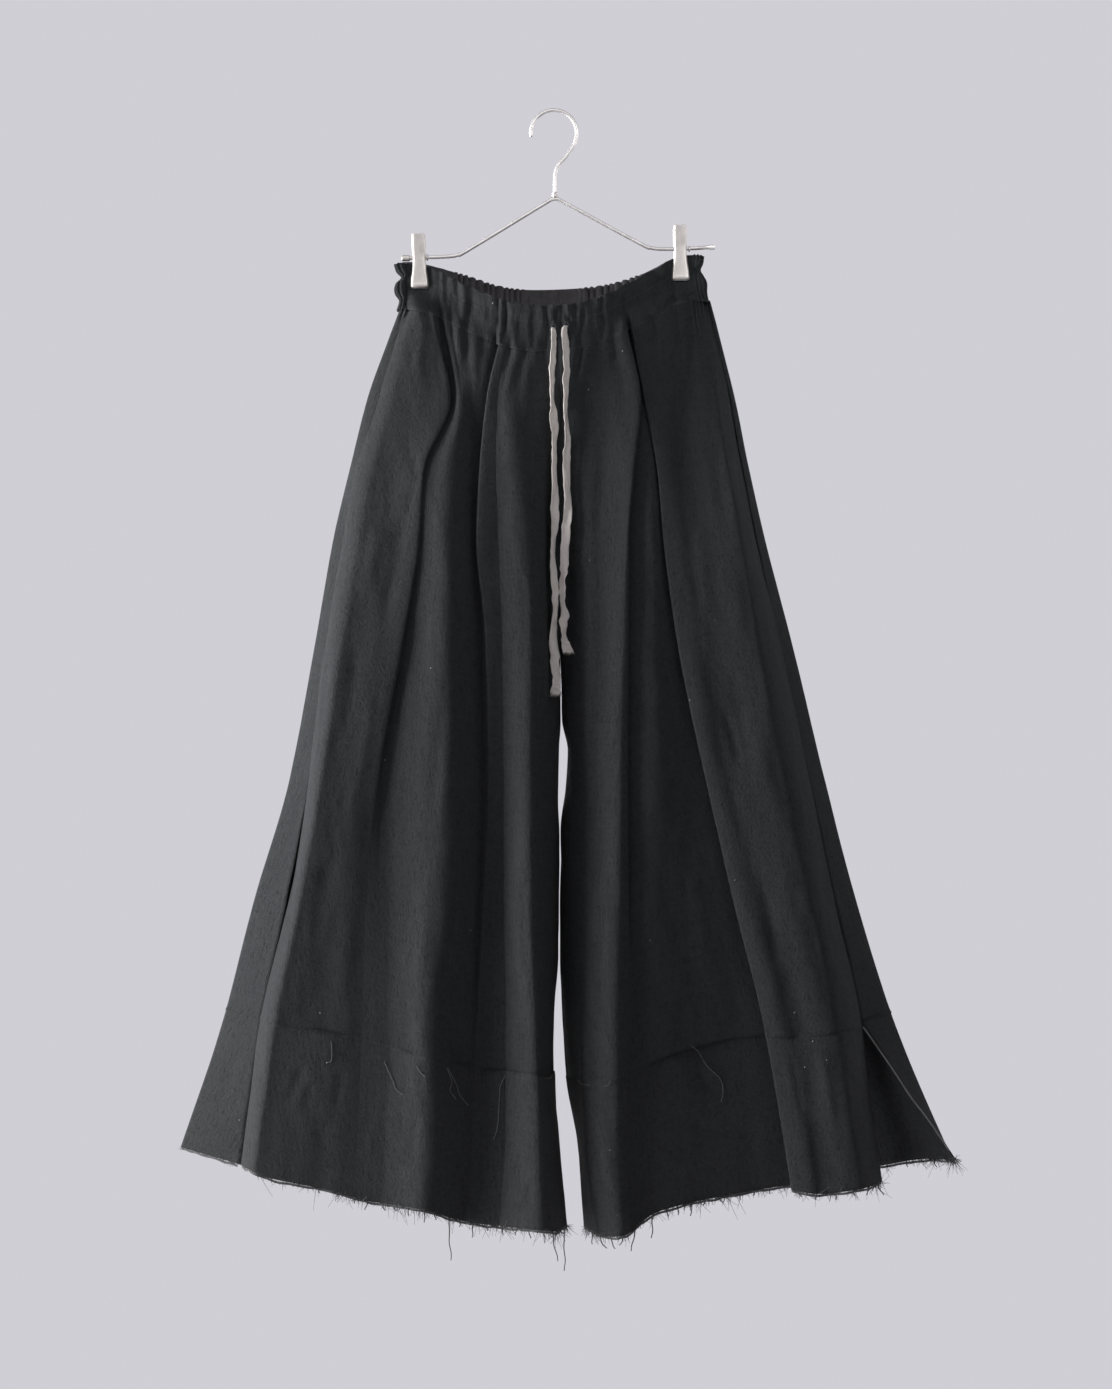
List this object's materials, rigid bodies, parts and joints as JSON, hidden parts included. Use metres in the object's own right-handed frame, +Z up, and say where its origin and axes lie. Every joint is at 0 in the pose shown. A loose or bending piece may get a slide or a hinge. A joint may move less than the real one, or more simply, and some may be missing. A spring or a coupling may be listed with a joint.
{
  "type": "hakama trousers on a clip hanger",
  "caption": "Wide pleated hakama trousers with a gathered drawstring waist and raw-edged hem bands, hung by two clips from a wire hanger",
  "frame": {"origin": "inner top of the hanger hook's crook, where the hook rests on a rail or peg", "axes": "+Z up, front of the trousers towards -Y, the wearer's left side towards +X"},
  "size_m": [0.774, 0.1659, 1.1608],
  "materials": {
    "linen_black": "matt washed linen and cotton cloth, charcoal black",
    "tape_cream": "soft undyed cotton tape",
    "wire_steel": "satin drawn wire",
    "clip_steel": "satin pressed steel"
  },
  "bodies": {
    "root": {"clip_left_back": "clip_steel", "clip_left_front": "clip_steel", "clip_left_spring": "clip_steel", "clip_right_back": "clip_steel", "clip_right_front": "clip_steel", "clip_right_spring": "clip_steel", "drawstring_left": "tape_cream", "drawstring_right": "tape_cream", "fray_back_left": "linen_black", "fray_back_right": "linen_black", "fray_front_left": "linen_black", "fray_front_right": "linen_black", "hanger_arms": "wire_steel", "hanger_bead_left": "clip_steel", "hanger_bead_right": "clip_steel", "hanger_collar": "wire_steel", "hanger_hook": "wire_steel", "hem_back_left": "linen_black", "hem_back_right": "linen_black", "hem_front_left": "linen_black", "hem_front_right": "linen_black", "leg_back_left": "linen_black", "leg_back_right": "linen_black", "leg_front_left": "linen_black", "leg_front_right": "linen_black", "waistband_back": "linen_black", "waistband_front": "linen_black"}
  },
  "joints": []
}
